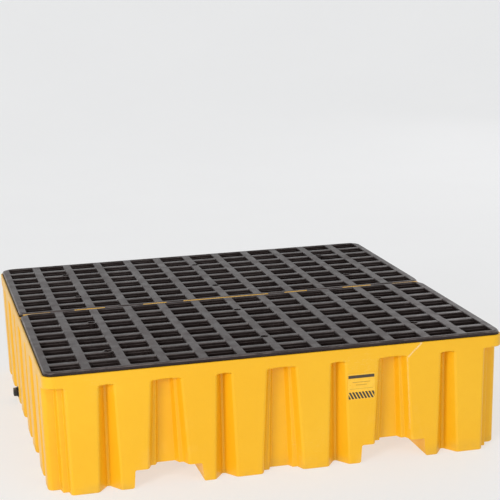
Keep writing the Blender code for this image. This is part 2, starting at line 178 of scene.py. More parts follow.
# Pale lines on the front wall: start and end as (x, z), then half-width. The first is a scuff on the rim;
# the second runs down a bay's rounded edge and is partly a scuff, partly a painted highlight.
RIM_SCUFF = ((0.407, 0.338), (0.364, 0.297), 0.0030)
EDGE_SCUFF_HIGHLIGHT = ((0.364, 0.298), (0.374, 0.080), 0.0022)

# Colours
YELLOW = (0.89, 0.462, 0.0085)
YELLOW_CLOUD = (0.91, 0.500, 0.0150)
YELLOW_MOTTLE = (0.87, 0.445, 0.010)
YELLOW_SCRATCH = (0.98, 0.74, 0.30)
YELLOW_WORN = (0.99, 0.66, 0.20)
# The next colour is for the rim scuff and for the line down a bay edge, which is partly a scuff and partly a
# painted highlight
YELLOW_SCUFF_HIGHLIGHT = (0.98, 0.78, 0.50)
YELLOW_DUST = (0.50, 0.31, 0.075)
BLACK_GRATE = (0.0130, 0.0085, 0.0078)
BLACK_GRATE_CLOUD = (0.0200, 0.0140, 0.0130)
# The next colour is dust on the grate tops, also tinted to paint the deck's sheen
GRATE_DUST_SHEEN = (0.058, 0.040, 0.038)
# The next colour is a painted highlight on the grates' rounded edges
GRATE_EDGE_HIGHLIGHT = (0.150, 0.125, 0.120)
GRATE_EDGE = (0.085, 0.072, 0.070)
GRATE_SCRATCH = (0.11, 0.095, 0.092)

# Camera and lights
CAMERA_PLACE = (-0.9962, -4.4139, 1.4546)
CAMERA_TURN = (78.0598, 1.5198, -14.0470)
LENS_MM = 106.08
SENSOR_MM = 36.0
LIGHT_TARGET = (0.0, 0.0, 0.2)
LIGHTS = (
    ("key", (-4.2, -4.6, 2.1), 1.3, 120, (1.0, 0.99, 0.98)),
    ("top", (-1.8, -3.4, 4.2), 0.6, 24, (1.0, 0.99, 0.98)),
    ("fill", (1.2, -5.6, 2.0), 2.6, 10, (1.0, 0.99, 0.98)),
    ("rear", (3.4, 4.4, 1.7), 2.2, 8, (1.0, 0.95, 0.96)),
)
WORLD_COLOUR = (1.0, 0.985, 0.97, 1.0)
WORLD_STRENGTH = 0.29

# Studio floor
FLOOR_RADIUS = 4.5
BACKDROP_RADIUS = 6.0
BACKDROP_TOP = 9.0
BACKDROP_SIDES = 96
BACKDROP_STEPS = 12


def between(pair, share):
    """The value a share of the way up from the foot of a wall to its recess tops."""
    return pair[0] + (pair[1] - pair[0]) * share


# Outlines. A corner is (x, y, rounding, wall it belongs to, steps in its arc).


def groove_profile(share):
    """One narrow groove as (along, inset, rounding) points, from its centre."""
    half = [
        (between(GROOVE_FLOOR, share), between(GROOVE_DEPTH, share), INSIDE_ROUND),
        (between(GROOVE_OPENING, share), 0.0, EDGE_ROUND),
    ]
    return [(-along, inset, arc) for along, inset, arc in reversed(half)] + half


def bay_profile(share):
    """One wide, stepped recess as (along, inset, rounding) points, from its centre."""
    step_depth = between(BAY_STEP_DEPTH, share)
    half = [
        (between(BAY_FLOOR, share), between(BAY_DEPTH, share), INSIDE_ROUND),
        (between(BAY_STEP_INNER, share), step_depth, STEP_ROUND),
        (between(BAY_STEP_OUTER, share), step_depth, STEP_ROUND),
        (between(BAY_OPENING, share), 0.0, EDGE_ROUND),
    ]
    return [(-along, inset, arc) for along, inset, arc in reversed(half)] + half


def wall_profile(grooves, bays, share):
    """A whole wall's recesses as (along, inset, rounding) points, in order."""
    placed = [(centre, groove_profile(share)) for centre in grooves]
    placed += [(centre, bay_profile(share)) for centre in bays]
    return [
        (centre + along, inset, arc)
        for centre, profile in sorted(placed)
        for along, inset, arc in profile
    ]


def corner_cut(share):
    """The stepped cut between the last panel and the corner post, as (along, inset, rounding) points."""
    start = between(CUT_START, share)
    step = between(CUT_STEP_WIDTH, share)
    return [
        (start, 0.0, EDGE_ROUND),
        (start + CUT_SLOPE, CUT_STEP_DEPTH, STEP_ROUND),
        (start + CUT_SLOPE + step, CUT_STEP_DEPTH, STEP_ROUND),
        (start + 2 * CUT_SLOPE + step, CUT_DEPTH, STEP_ROUND),
    ]


def recessed_corners(z, extra=0.0):
    """Half of the tub's outline below the rim at height z: front wall, right wall and corners."""
    share = z / RECESS_TOP
    inset = SIDE_DRAFT * (RIM_HEIGHT - z) + extra
    x = WIDTH / 2 - inset
    y = -DEPTH / 2 + inset
    cut = corner_cut(share)
    front = [(-along, depth, arc) for along, depth, arc in reversed(cut)]
    front += wall_profile(FRONT_GROOVES, FRONT_BAYS, share) + cut
    right = wall_profile(SIDE_GROOVES, SIDE_BAYS, share)
    post = -DEPTH / 2 + SIDE_DRAFT * (RIM_HEIGHT - z) + CUT_DEPTH + extra
    corners = [(along, y + depth, arc, "front", ARC_STEPS) for along, depth, arc in front]
    corners.append((x, post, POST_CORNER, "front corner", CORNER_STEPS))
    corners += [(x - depth, along, arc, "right", ARC_STEPS) for along, depth, arc in right]
    corners.append((x, -post, POST_CORNER, "rear corner", CORNER_STEPS))
    return corners


def both_halves(half):
    """The half outline and the same turned half round."""
    return half + [(-corner[0], -corner[1], *corner[2:]) for corner in half]


def offset_inwards(corners, distance, rounding):
    """The sharp outline moved in by a wall's thickness, with its own rounding."""
    moved = []
    for i, corner in enumerate(corners):
        here = Vector(corner[:2])
        before = (here - Vector(corners[i - 1][:2])).normalized()
        after = (Vector(corners[(i + 1) % len(corners)][:2]) - here).normalized()
        normals = [Vector((-edge.y, edge.x)) for edge in (before, after)]
        bisector = normals[0] + normals[1]
        place = here + bisector * distance / (1 + normals[0].dot(normals[1]))
        moved.append((place.x, place.y, rounding, *corner[3:]))
    return moved


def arc_points(before, corner, after, rounding, steps):
    """Points of a circular rounding at a corner, which takes up at most part of the shorter edge."""
    to_before, to_after = before - corner, after - corner
    reach = 0.46 * min(to_before.length, to_after.length)
    to_before.normalize()
    to_after.normalize()
    half_angle = max(to_before.angle(to_after) / 2, 0.01)
    wanted = rounding / math.tan(half_angle) if half_angle < 1.55 else rounding / 2
    reach = min(reach, wanted)
    start, end = corner + to_before * reach, corner + to_after * reach
    weight = math.sin(half_angle)
    points = []
    for step in range(steps + 1):
        s = step / steps
        parts = ((1 - s) ** 2, 2 * s * (1 - s) * weight, s**2)
        points.append((start * parts[0] + corner * parts[1] + end * parts[2]) / sum(parts))
    return points


def rounded(corners):
    """A rounded outline from its sharp corners, as (x, y, wall, share of the arc) points."""
    points = []
    for i, (x, y, rounding, wall, steps) in enumerate(corners):
        before = Vector(corners[i - 1][:2])
        after = Vector(corners[(i + 1) % len(corners)][:2])
        arc = arc_points(before, Vector((x, y)), after, rounding, steps)
        points += [(point.x, point.y, wall, step / steps) for step, point in enumerate(arc)]
    return points


def on_rim(points, z, extra=0.0):
    """Moves an outline's points straight out to the rim's plain outline at height z."""
    inset = SIDE_DRAFT * max(RIM_HEIGHT - z, 0.0) * (z < RIM_HEIGHT - RIM_ROUND) + extra
    half_x, half_y = WIDTH / 2 - inset, DEPTH / 2 - inset
    radius = RIM_CORNER - inset
    count = len(points) // 2
    moved = []
    for x, y, wall, share in points[:count]:
        turn = share * math.pi / 2
        if wall == "front":
            place = (x, -half_y)
        elif wall == "right":
            place = (half_x, y)
        elif wall == "front corner":
            place = (half_x - radius * (1 - math.sin(turn)), -half_y + radius * (1 - math.cos(turn)))
        else:
            place = (half_x - radius * (1 - math.cos(turn)), half_y - radius * (1 - math.sin(turn)))
        moved.append(place)
    return moved + [(-x, -y) for x, y in moved]


def blended(inner, outer, share):
    return [(a[0] + (b[0] - a[0]) * share, a[1] + (b[1] - a[1]) * share) for a, b in zip(inner, outer)]


def at_height(outline, z):
    return [(point[0], point[1], z) for point in outline]


# Mesh tools


def turns_with(ring_points, direction):
    """Whether a ring runs anticlockwise as seen from the end that a direction points to."""
    origin = Vector(ring_points[0])
    area = Vector()
    for first, second in zip(ring_points[1:], ring_points[2:]):
        area += (Vector(first) - origin).cross(Vector(second) - origin)
    return area.dot(direction) > 0


def centre_of(points):
    return sum((Vector(point) for point in points), Vector()) / len(points)


def add_loft(builder, rings):
    """Adds a closed solid through rings that have the same number of points, facing out."""
    if not turns_with(rings[0], centre_of(rings[-1]) - centre_of(rings[0])):
        rings = [list(reversed(points)) for points in rings]
    loops = [[builder.verts.new(point) for point in points] for points in rings]
    count = len(rings[0])
    for lower, upper in zip(loops, loops[1:]):
        for i in range(count):
            j = (i + 1) % count
            builder.faces.new((lower[i], lower[j], upper[j], upper[i]))
    builder.faces.new(reversed(loops[0]))
    builder.faces.new(loops[-1])


def add_torus_grid(builder, loops):
    """Adds a surface that closes both along its loops and round them."""
    rows = [[builder.verts.new(point) for point in loop] for loop in loops]
    count = len(rows[0])
    for first, second in zip(rows, rows[1:] + rows[:1]):
        for i in range(count):
            j = (i + 1) % count
            builder.faces.new((first[i], first[j], second[j], second[i]))
    bmesh.ops.recalc_face_normals(builder, faces=builder.faces)


def new_object(name, builder):
    mesh = bpy.data.meshes.new(name)
    builder.to_mesh(mesh)
    builder.free()
    made = bpy.data.objects.new(name, mesh)
    bpy.context.scene.collection.objects.link(made)
    return made


def combine(target, builder, operation):
    """Adds a Boolean with a helper object, which settle() removes."""
    helper = new_object("helper", builder)
    modifier = target.modifiers.new("join", "BOOLEAN")
    modifier.operation = operation
    modifier.solver = "EXACT"
    modifier.object = helper


def settle(piece):
    """Applies a piece's Booleans and removes their helpers."""
    for modifier in piece.modifiers:
        if modifier.object.modifiers:
            settle(modifier.object)
    helpers = [modifier.object for modifier in piece.modifiers]
    bpy.context.view_layer.update()
    graph = bpy.context.evaluated_depsgraph_get()
    mesh = bpy.data.meshes.new_from_object(piece.evaluated_get(graph), depsgraph=graph)
    piece.modifiers.clear()
    piece.data = mesh
    for helper in helpers:
        bpy.data.objects.remove(helper, do_unlink=True)


def finish_piece(piece, look, slot, body, *nodes, sharp=32):
    """Shades a piece, gives it its material and ties it to the frame."""
    piece.data.materials.clear()
    piece.data.materials.append(look)
    piece.data.shade_smooth()
    piece.data.set_sharp_from_angle(angle=math.radians(sharp))
    weighted = piece.modifiers.new("even shading", "WEIGHTED_NORMAL")
    weighted.keep_sharp = True
    weighted.weight = 100
    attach(piece, body)
    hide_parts(*nodes)


# Tub


def wall_rings():
    """The tub's outer surface from the foot to the rim's top."""
    foot = rounded(both_halves(recessed_corners(0.0, FOOT_ROUND)))
    foot_turn = rounded(both_halves(recessed_corners(FOOT_ROUND * 0.3, FOOT_ROUND * 0.3)))
    low = rounded(both_halves(recessed_corners(FOOT_ROUND)))
    top = rounded(both_halves(recessed_corners(RECESS_TOP)))
    rim = on_rim(top, RIM_BOTTOM)
    rise = RIM_BOTTOM - RECESS_TOP
    rings = [at_height(foot, 0.0), at_height(foot_turn, FOOT_ROUND * 0.3), at_height(low, FOOT_ROUND)]
    near_top = rounded(both_halves(recessed_corners(RECESS_TOP - SHOULDER)))
    rings.append(at_height(near_top, RECESS_TOP - SHOULDER))
    for share, height in ((0.02, -0.2), (0.07, 0.08), (0.78, 0.78), (0.92, 1.05), (0.98, 1.6)):
        rings.append(at_height(blended(top, rim, share), RECESS_TOP + rise * height))
    rings.append(at_height(on_rim(top, RIM_BOTTOM + 2 * SHOULDER), RIM_BOTTOM + 2 * SHOULDER))
    rings.append(at_height(on_rim(top, RIM_HEIGHT), RIM_HEIGHT - RIM_ROUND))
    for turn in (30, 60, 90):
        angle = math.radians(turn)
        outline = on_rim(top, RIM_HEIGHT, RIM_ROUND * (1 - math.cos(angle)))
        rings.append(at_height(outline, RIM_HEIGHT - RIM_ROUND * (1 - math.sin(angle))))
    return rings


def add_cavity(builder):
    """The tub's inside, down to the sump floor and up through the rim."""
    low = rounded(offset_inwards(both_halves(recessed_corners(WALL)), WALL, INSIDE_ROUND))
    top = rounded(offset_inwards(both_halves(recessed_corners(RECESS_TOP)), WALL, INSIDE_ROUND))
    rim = on_rim(top, RIM_HEIGHT, WALL)
    rings = [
        at_height(low, WALL),
        at_height(top, RECESS_TOP + SHOULDER),
        at_height(rim, COLUMN_TOP),
        at_height(rim, RIM_HEIGHT - RIM_ROUND / 2),
        at_height(on_rim(top, RIM_HEIGHT, WALL - RIM_ROUND / 2), RIM_HEIGHT),
        at_height(on_rim(top, RIM_HEIGHT, WALL - RIM_ROUND / 2), RIM_HEIGHT + CUT_PAST),
    ]
    add_loft(builder, rings)


def pocket_section(side, grow):
    """A fork pocket's section as (x, z) points, flared at the foot where it cuts the tub."""
    top = POCKET_HEIGHT + grow
    inner, outer = POCKET_INNER - grow, POCKET_OUTER + grow
    flare = 0.0 if grow else POCKET_ROUND
    corners = [
        (inner - flare, -CUT_PAST, 0.0, "", 1),
        (outer + flare, -CUT_PAST, 0.0, "", 1),
        (outer + flare, 0.0, POCKET_ROUND, "", ARC_STEPS),
        (outer, POCKET_ROUND, POCKET_ROUND, "", ARC_STEPS),
        (outer - POCKET_DRAFT, top, POCKET_ROUND, "", ARC_STEPS),
        (inner + POCKET_DRAFT, top, POCKET_ROUND, "", ARC_STEPS),
        (inner, POCKET_ROUND, POCKET_ROUND, "", ARC_STEPS),
        (inner - flare, 0.0, POCKET_ROUND, "", ARC_STEPS),
    ]
    if grow:
        corners = corners[:2] + corners[4:6]
    return [(side * x, z) for x, z, _, _ in rounded(corners)]


def add_pockets(builder, grow):
    for side in (-1, 1):
        section = pocket_section(side, grow)
        add_loft(builder, [[(x, y, z) for x, z in section] for y in (-DEPTH, DEPTH)])


def column_ring(x, y, half_x, half_y, z, inset=0.0):
    """A rounded rectangle at height z."""
    arc = min(COLUMN_CHAMFER, half_x / 2)
    dx, dy = half_x - inset, half_y - inset
    corners = [(dx, -dy), (dx, dy), (-dx, dy), (-dx, -dy)]
    outline = rounded([(cx, cy, arc, "", ARC_STEPS) for cx, cy in corners])
    return [(x + point[0], y + point[1], z) for point in outline]


def column_places():
    """Every column as (x, y, half x, half y) at its top."""
    places = []
    for low, high in RIDGE_COLUMNS:
        for side in (-1, 1) if low > 0 else (1,):
            places.append((side * (low + high) / 2, 0.0, (high - low) / 2, RIDGE_COLUMN_HALF_DEPTH))
    for x in FIELD_COLUMN_X:
        for side in (-1, 1) if x > 0 else (1,):
            for row in (-1, 1):
                places.append((side * x, row * FIELD_COLUMN_Y, FIELD_COLUMN_HALF, FIELD_COLUMN_HALF))
    return places


def add_columns(builder, shrink):
    """All the columns, or with shrink their hollow undersides."""
    base = COLUMN_FLARE - shrink
    for x, y, half_x, half_y in column_places():
        top = (x, y, half_x - shrink, half_y - shrink)
        rings = [
            column_ring(x, y, half_x + base, half_y + base, -CUT_PAST),
            column_ring(*top, COLUMN_TOP - shrink - COLUMN_ROUND),
            column_ring(*top, COLUMN_TOP - shrink - COLUMN_ROUND / 3, COLUMN_ROUND / 3),
            column_ring(*top, COLUMN_TOP - shrink, COLUMN_ROUND),
        ]
        add_loft(builder, rings)


def ridge_section(top):
    """The ridge's section as (y, z) points, with a rounded top."""
    half = RIDGE_HALF_WIDTH
    corners = [
        (-half, RIDGE_FOOT, 0.0, "", 1),
        (half, RIDGE_FOOT, 0.0, "", 1),
        (half, top, RIDGE_ROUND, "", ARC_STEPS),
        (-half, top, RIDGE_ROUND, "", ARC_STEPS),
    ]
    return [(y, z) for y, z, _, _ in rounded(corners)]


def add_ridges(builder):
    for low, high in RIDGE_COLUMNS[:-1]:
        for side in (-1, 1) if low > 0 else (1,):
            ends = sorted((side * low, side * high))
            along = (ends[0] + RIDGE_INSET, ends[1] - RIDGE_INSET)
            add_loft(builder, [[(x, y, z) for y, z in ridge_section(RIDGE_TOP)] for x in along])


def add_webs(builder):
    """A thin web from the outermost column to each side wall, with the ridge's end on its top."""
    section = [
        (WEB_START, WEB_FOOT),
        (WEB_WALL[0], WEB_FOOT),
        (WEB_WALL[1], COLUMN_TOP - WALL),
        (WEB_END, RIDGE_FOOT),
        (WEB_END, WEB_TOP),
        (WEB_START, WEB_TOP),
    ]
    for side in (-1, 1):
        faces = (-RIDGE_HALF_WIDTH, RIDGE_HALF_WIDTH)
        add_loft(builder, [[(side * x, y, z) for x, z in section] for y in faces])


def add_keys(builder):
    """A wedge on the rim's inner face at each end of the seam."""
    base = WIDTH / 2 - WALL + 0.002
    for side in (-1, 1):
        corners = [
            (side * base, -KEY_HALF_WIDTH, 0.0, "", ARC_STEPS),
            (side * base, KEY_HALF_WIDTH, 0.0, "", ARC_STEPS),
            (side * KEY_TIP, RIDGE_HALF_WIDTH, RIDGE_ROUND, "", ARC_STEPS),
            (side * KEY_TIP, -RIDGE_HALF_WIDTH, RIDGE_ROUND, "", ARC_STEPS),
        ]
        outline = rounded(corners)
        add_loft(builder, [at_height(outline, z) for z in (RIDGE_FOOT, KEY_TOP)])


def filled(add, *values):
    """A new mesh builder that holds what a function adds."""
    builder = bmesh.new()
    add(builder, *values)
    return builder


def circle_angles(count):
    return [2 * math.pi * i / count for i in range(count)]


def drain_point(x, radius, angle):
    """A point at an angle round the drain's axis."""
    return (x, DRAIN_Y + radius * math.cos(angle), DRAIN_Z + radius * math.sin(angle))


def rod(builder, outer, inner, radius):
    """A round rod along the drain's axis, between two distances from the middle of the pallet."""
    angles = circle_angles(ROUND_SIDES)
    add_loft(builder, [[drain_point(x, radius, angle) for angle in angles] for x in (-outer, -inner)])


def make_tub(look):
    pad_face = -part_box("drain_gasket")[1].x

    cavity = new_object("cavity", filled(add_cavity))
    combine(cavity, filled(add_pockets, WALL), "DIFFERENCE")
    combine(cavity, filled(add_columns, 0.0), "DIFFERENCE")
    combine(cavity, filled(rod, pad_face + PAD_OVERLAP, PAD_INNER, PAD_RADIUS), "DIFFERENCE")
    settle(cavity)

    tub = new_object("tub_moulding", filled(add_loft, wall_rings()))
    inside = tub.modifiers.new("inside", "BOOLEAN")
    inside.operation = "DIFFERENCE"
    inside.solver = "EXACT"
    inside.object = cavity
    combine(tub, filled(add_columns, WALL), "DIFFERENCE")
    combine(tub, filled(add_pockets, 0.0), "DIFFERENCE")
    combine(tub, filled(add_ridges), "UNION")
    combine(tub, filled(add_webs), "UNION")
    combine(tub, filled(add_keys), "UNION")
    combine(tub, filled(rod, WIDTH / 2, pad_face - CLEARANCE, PAD_RADIUS), "DIFFERENCE")
    combine(tub, filled(rod, WIDTH / 2, WALL_HOLE_END, WALL_HOLE_RADIUS), "DIFFERENCE")
    settle(tub)
    sections = [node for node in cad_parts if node.startswith("tub_")]
    finish_piece(tub, look, "tub_polyethylene", "tub", *sections)


# Grates


def row_centres(count, pitch):
    return [pitch * (i - (count - 1) / 2) for i in range(count)]


def rectangle_ring(x, y, half_x, half_y, rounding, z, steps=2):
    corners = [(half_x, -half_y), (half_x, half_y), (-half_x, half_y), (-half_x, -half_y)]
    outline = rounded([(dx, dy, rounding, "", steps) for dx, dy in corners])
    return [(x + point[0], y + point[1], z) for point in outline]


def add_plate(builder, half_x, half_y, centre_y, bottom, top):
    """The grate before its cells are cut, with a rounded edge that is widest at the corners."""
    rings = [rectangle_ring(0, centre_y, half_x - 0.001, half_y - 0.001, GRATE_CORNER, bottom, CORNER_STEPS)]
    rings.append(rectangle_ring(0, centre_y, half_x, half_y, GRATE_CORNER, bottom + 0.001, CORNER_STEPS))
    for step in range(5):
        angle = math.pi / 2 * step / 4
        inset = GRATE_EDGE_INSET * (1 - math.cos(angle))
        corner = GRATE_CORNER + (GRATE_TOP_CORNER - GRATE_CORNER) * (1 - math.cos(angle))
        z = top - GRATE_EDGE_DROP * (1 - math.sin(angle))
        rings.append(rectangle_ring(0, centre_y, half_x - inset, half_y - inset, corner, z, CORNER_STEPS))
    add_loft(builder, rings)


def add_cells(builder, centre_y, bottom, top):
    """The open cells, each with rounded upper edges and a ledge on its front and rear walls."""
    half_x, half_y = CELL_X / 2, CELL_Y / 2
    levels = [
        (bottom - CUT_PAST, -0.0005, -LEDGE_WIDTH),
        (top - LEDGE_DEPTH - 0.001, 0.0, -LEDGE_WIDTH),
        (top - LEDGE_DEPTH, 0.0, -LEDGE_WIDTH + 0.0008),
        (top - LEDGE_DEPTH + 0.0006, 0.0, -0.0003),
        (top - RIB_DROP - RIB_FLARE, 0.0, 0.0),
        (top - RIB_DROP - RIB_FLARE * 0.5, 0.0, RIB_FLARE * 0.14),
        (top - RIB_DROP - RIB_FLARE * 0.14, 0.0, RIB_FLARE * 0.5),
        (top - RIB_DROP, BAR_FLARE / 3, RIB_FLARE),
        (top + CUT_PAST, BAR_FLARE * 3, RIB_FLARE),
    ]
    for x in row_centres(CELL_COLUMNS, CELL_PITCH_X):
        for row in row_centres(CELL_ROWS, CELL_PITCH_Y):
            rings = [
                rectangle_ring(x, centre_y + row, half_x + wide, half_y + deep, CELL_CORNER, z)
                for z, wide, deep in levels
            ]
            add_loft(builder, rings)


def add_rib_channels(builder, centre_y, top):
    """A shallow channel along each column of cells, which leaves the ribs lower than the bars."""
    reach = CELL_PITCH_Y * (CELL_ROWS - 1) / 2 + CELL_Y / 2
    half_x = CELL_X / 2
    for x in row_centres(CELL_COLUMNS, CELL_PITCH_X):
        rings = [
            rectangle_ring(x, centre_y, half_x - RIB_DROP, reach - RIB_DROP, CELL_CORNER, top - RIB_DROP),
            rectangle_ring(x, centre_y, half_x, reach, CELL_CORNER, top),
            rectangle_ring(x, centre_y, half_x, reach, CELL_CORNER, top + CUT_PAST),
        ]
        add_loft(builder, rings)


def add_slots(builder, centre_y, half_y, bottom):
    """Channels in the underside of the bars."""
    reach = half_y - BAR_SLOT_END
    for x in row_centres(CELL_COLUMNS - 1, CELL_PITCH_X):
        rings = [
            rectangle_ring(x, centre_y, BAR_SLOT / 2, reach, CELL_CORNER, bottom - CUT_PAST),
            rectangle_ring(x, centre_y, BAR_SLOT / 2, reach, CELL_CORNER, BAR_SLOT_TOP - 0.002),
            rectangle_ring(x, centre_y, BAR_SLOT / 2 - 0.002, reach - 0.002, CELL_CORNER, BAR_SLOT_TOP),
        ]
        add_loft(builder, rings)


def lift_hole_places(centre_y):
    for x in LIFT_HOLE_X:
        for row in LIFT_HOLE_ROWS:
            yield x, centre_y + row * CELL_PITCH_Y


def add_posts(builder, centre_y, levels):
    """Round posts or holes at the lift holes, through (height, radius) levels."""
    for x, y in lift_hole_places(centre_y):
        angles = circle_angles(24)
        rings = [[(x + r * math.cos(a), y + r * math.sin(a), z) for a in angles] for z, r in levels]
        add_loft(builder, rings)


def make_grates(look):
    low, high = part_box("front_grate")
    half_x = (high.x - low.x) / 2
    half_y = (high.y - low.y) / 2
    centre_y = (high.y + low.y) / 2
    bottom, top = low.z, high.z

    front = new_object("front_grate_moulding", filled(add_plate, half_x, half_y, centre_y, bottom, top))
    combine(front, filled(add_cells, centre_y, bottom, top), "DIFFERENCE")
    combine(front, filled(add_rib_channels, centre_y, top), "DIFFERENCE")
    combine(front, filled(add_slots, centre_y, half_y, bottom), "DIFFERENCE")
    boss = [(bottom + 0.002, LIFT_BOSS_RADIUS - 0.001), (top - 0.002, LIFT_BOSS_RADIUS)]
    boss.append((top - 0.0007, LIFT_BOSS_RADIUS - 0.0012))
    combine(front, filled(add_posts, centre_y, boss), "UNION")
    hole = [(top - LIFT_HOLE_DEPTH, LIFT_HOLE_RADIUS - 0.001), (top - 0.003, LIFT_HOLE_RADIUS)]
    hole += [(top - 0.0015, LIFT_HOLE_RADIUS + 0.0004), (top + CUT_PAST, LIFT_HOLE_RADIUS + 0.0014)]
    combine(front, filled(add_posts, centre_y, hole), "DIFFERENCE")
    settle(front)

    rear = bpy.data.objects.new("rear_grate_moulding", front.data.copy())
    bpy.context.scene.collection.objects.link(rear)
    rear.data.transform(Matrix.Rotation(math.pi, 4, "Z"))
    finish_piece(front, look, "grate_polyethylene", "front_grate", "front_grate")
    finish_piece(rear, look, "grate_polyethylene", "rear_grate", "rear_grate")


# Drain


def turned(name, corners):
    """A ring turned about the drain's axis, from a closed profile of (x, radius, rounding) corners."""
    profile = rounded([(x, radius, arc, "", 3) for x, radius, arc in corners])
    angles = circle_angles(ROUND_SIDES)
    loops = [[drain_point(point[0], point[1], angle) for point in profile] for angle in angles]
    return new_object(name, filled(add_torus_grid, loops))


def add_thread(builder, start, end, radius):
    """A threaded rod between two places on the drain's axis, with a right-hand thread."""
    steps = round(abs(end - start) / THREAD_PITCH * THREAD_STEPS)
    rings = []
    for step in range(steps + 1):
        x = start + (end - start) * step / steps
        taper = THREAD_DEPTH if step in (0, steps) else 0.0
        ring = []
        for angle in circle_angles(ROUND_SIDES):
            phase = 2 * math.pi * x / THREAD_PITCH - angle
            depth = taper + THREAD_DEPTH * (0.5 + 0.5 * math.sin(phase))
            ring.append(drain_point(x, radius - depth, angle))
        rings.append(ring)
    add_loft(builder, rings)


def add_disc(builder, levels):
    """A turned disc on the drain's axis, through (x, radius) levels."""
    angles = circle_angles(ROUND_SIDES)
    add_loft(builder, [[drain_point(x, radius, angle) for angle in angles] for x, radius in levels])


def make_ring(node, body, look, slot, hole, hole_arc, edge_arc):
    """A flat ring that fills a node's box, with a round hole."""
    low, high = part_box(node)
    radius = (high.z - low.z) / 2
    corners = [
        (low.x, hole, hole_arc),
        (low.x, radius, edge_arc),
        (high.x, radius, edge_arc),
        (high.x, hole, hole_arc),
    ]
    finish_piece(turned(node + "_ring", corners), look, slot, body, node)


def make_round_pieces(plastic, rubber):
    make_ring("drain_gasket", "tub", rubber, "seal_rubber", WALL_HOLE_RADIUS, 0.0003, 0.0008)
    make_ring("drain_washer", "tub", plastic, "drain_plastic", WALL_HOLE_RADIUS, 0.0004, 0.0006)
    make_ring("plug_seal", "plug_seal", rubber, "seal_rubber", SEAL_HOLE_RADIUS, 0.0003, 0.0006)


def make_fitting(look):
    low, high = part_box("drain_fitting")
    flange = (high.z - low.z) / 2
    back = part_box("drain_gasket")[0].x - CLEARANCE
    fitting = new_object("drain_fitting_body", filled(add_thread, back - 0.001, high.x, SHANK_RADIUS))
    rim = [
        (back, flange - 0.0004),
        (back - 0.0005, flange),
        (low.x + 0.0012, flange),
        (low.x + 0.0004, flange - 0.0005),
        (low.x, flange - 0.0014),
    ]
    combine(fitting, filled(add_disc, rim), "UNION")
    combine(fitting, filled(rod, -low.x + CUT_PAST, -high.x - CUT_PAST, DRAIN_BORE), "DIFFERENCE")
    settle(fitting)
    finish_piece(fitting, look, "drain_plastic", "tub", "drain_fitting")


def make_locknut(look):
    low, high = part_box("drain_locknut")
    half_flats = NUT_ACROSS_FLATS / 2
    corner_radius = half_flats / math.cos(math.pi / 6)
    hexagon = []
    for angle in circle_angles(6):
        y, z = corner_radius * math.cos(angle), corner_radius * math.sin(angle)
        hexagon.append((y, z, NUT_CORNER_ROUND, "", NUT_CORNER_STEPS))
    outer = [Vector(point[:2]) for point in rounded(hexagon)]
    angles = [math.atan2(point.y, point.x) for point in outer]

    def hex_loop(x, limit):
        return [drain_point(x, min(point.length, limit), angle) for point, angle in zip(outer, angles)]

    def round_loop(x, radius):
        return [drain_point(x, radius, angle) for angle in angles]

    loops = [
        round_loop(low.x, WALL_HOLE_RADIUS + NUT_BORE_ROUND),
        hex_loop(low.x, half_flats),
        hex_loop(low.x + NUT_CHAMFER / 2, corner_radius * 0.94),
        hex_loop(low.x + NUT_CHAMFER, corner_radius),
        hex_loop(high.x - NUT_CHAMFER, corner_radius),
        hex_loop(high.x - NUT_CHAMFER / 2, corner_radius * 0.94),
        hex_loop(high.x, half_flats),
        round_loop(high.x, WALL_HOLE_RADIUS + NUT_BORE_ROUND),
        round_loop(high.x - NUT_BORE_ROUND, WALL_HOLE_RADIUS),
        round_loop(low.x + NUT_BORE_ROUND, WALL_HOLE_RADIUS),
    ]
    nut = new_object("drain_locknut_hexagon", filled(add_torus_grid, loops))
    finish_piece(nut, look, "drain_plastic", "tub", "drain_locknut", sharp=24)


def add_square_head(builder, levels):
    """The plug's square head, through (x, half-width, corner rounding) levels."""
    rings = []
    for x, half, arc in levels:
        corners = [(half, -half), (half, half), (-half, half), (-half, -half)]
        outline = rounded([(dy, dz, arc, "", ARC_STEPS) for dy, dz in corners])
        rings.append([(x, DRAIN_Y + point[0], DRAIN_Z + point[1]) for point in outline])
    add_loft(builder, rings)


def make_plug(look):
    low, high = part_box("drain_plug")
    seal_low, seal_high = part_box("plug_seal")
    back = seal_low.x - CLEARANCE
    face = back - PLUG_COLLAR
    radius = (seal_high.z - seal_low.z) / 2
    half = PLUG_HEAD / 2

    plug = new_object("drain_plug_body", filled(add_thread, back - 0.0015, high.x, PLUG_SHANK_RADIUS))
    collar = [
        (back, radius - 0.0003),
        (back - 0.0004, radius),
        (face + 0.0008, radius),
        (face, radius - 0.0008),
    ]
    combine(plug, filled(add_disc, collar), "UNION")
    head = [
        (face + 0.001, half, 0.003),
        (low.x + 0.0016, half - 0.0003, 0.003),
        (low.x + 0.0005, half - 0.0008, 0.0032),
        (low.x, half - 0.0020, 0.0032),
    ]
    combine(plug, filled(add_square_head, head), "UNION")
    dish = [
        (low.x - CUT_PAST, 0.0082),
        (low.x + 0.0002, 0.0078),
        (low.x + 0.0035, 0.0070),
    ]
    combine(plug, filled(add_disc, dish), "DIFFERENCE")
    settle(plug)
    finish_piece(plug, look, "drain_plastic", "drain_plug", "drain_plug")


# Label


